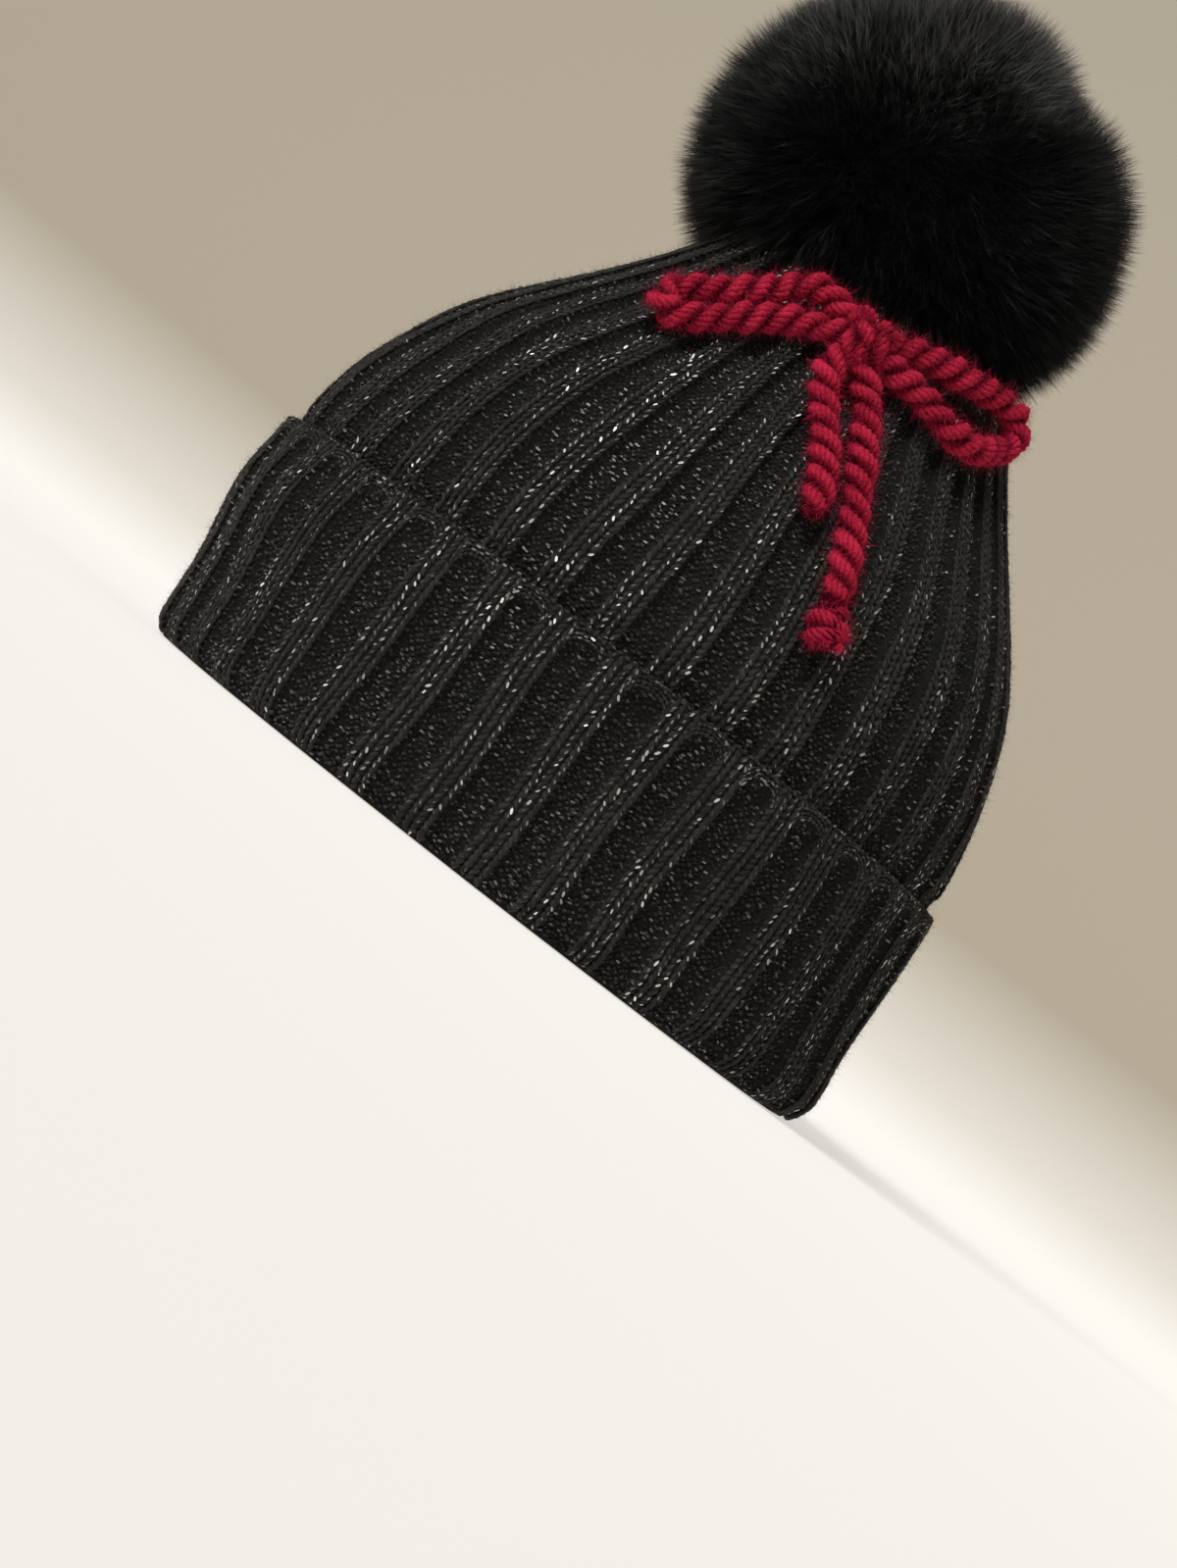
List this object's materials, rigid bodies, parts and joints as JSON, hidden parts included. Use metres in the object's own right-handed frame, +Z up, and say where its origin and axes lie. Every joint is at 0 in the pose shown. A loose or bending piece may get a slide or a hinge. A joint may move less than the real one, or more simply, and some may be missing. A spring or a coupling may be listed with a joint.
{
  "type": "pom-pom hat",
  "caption": "Knitted beanie in wide ribs with a turned-up cuff, a deep fur pompom on top and a yarn bow below it. Hollow and open underneath for a head.",
  "frame": {"origin": "middle of the cuff's folded rim, on the surface that the hat rests on", "axes": "+Z up along the hat's axis towards the pompom, +X towards the back of the hat, -Y towards the side with the bow"},
  "size_m": [0.2035, 0.176, 0.2519],
  "materials": {
    "knit": "charcoal rib knit with fine silver threads",
    "fur": "deep black fur",
    "yarn": "crimson plied wool yarn"
  },
  "bodies": {
    "root": {"crown": "knit", "cuff": "knit", "pompom": "fur", "bow_knot": "yarn", "bow_loop_left": "yarn", "bow_loop_right": "yarn", "bow_tail_short": "yarn", "bow_tail_long": "yarn", "bow_tail_end": "yarn"}
  },
  "joints": []
}
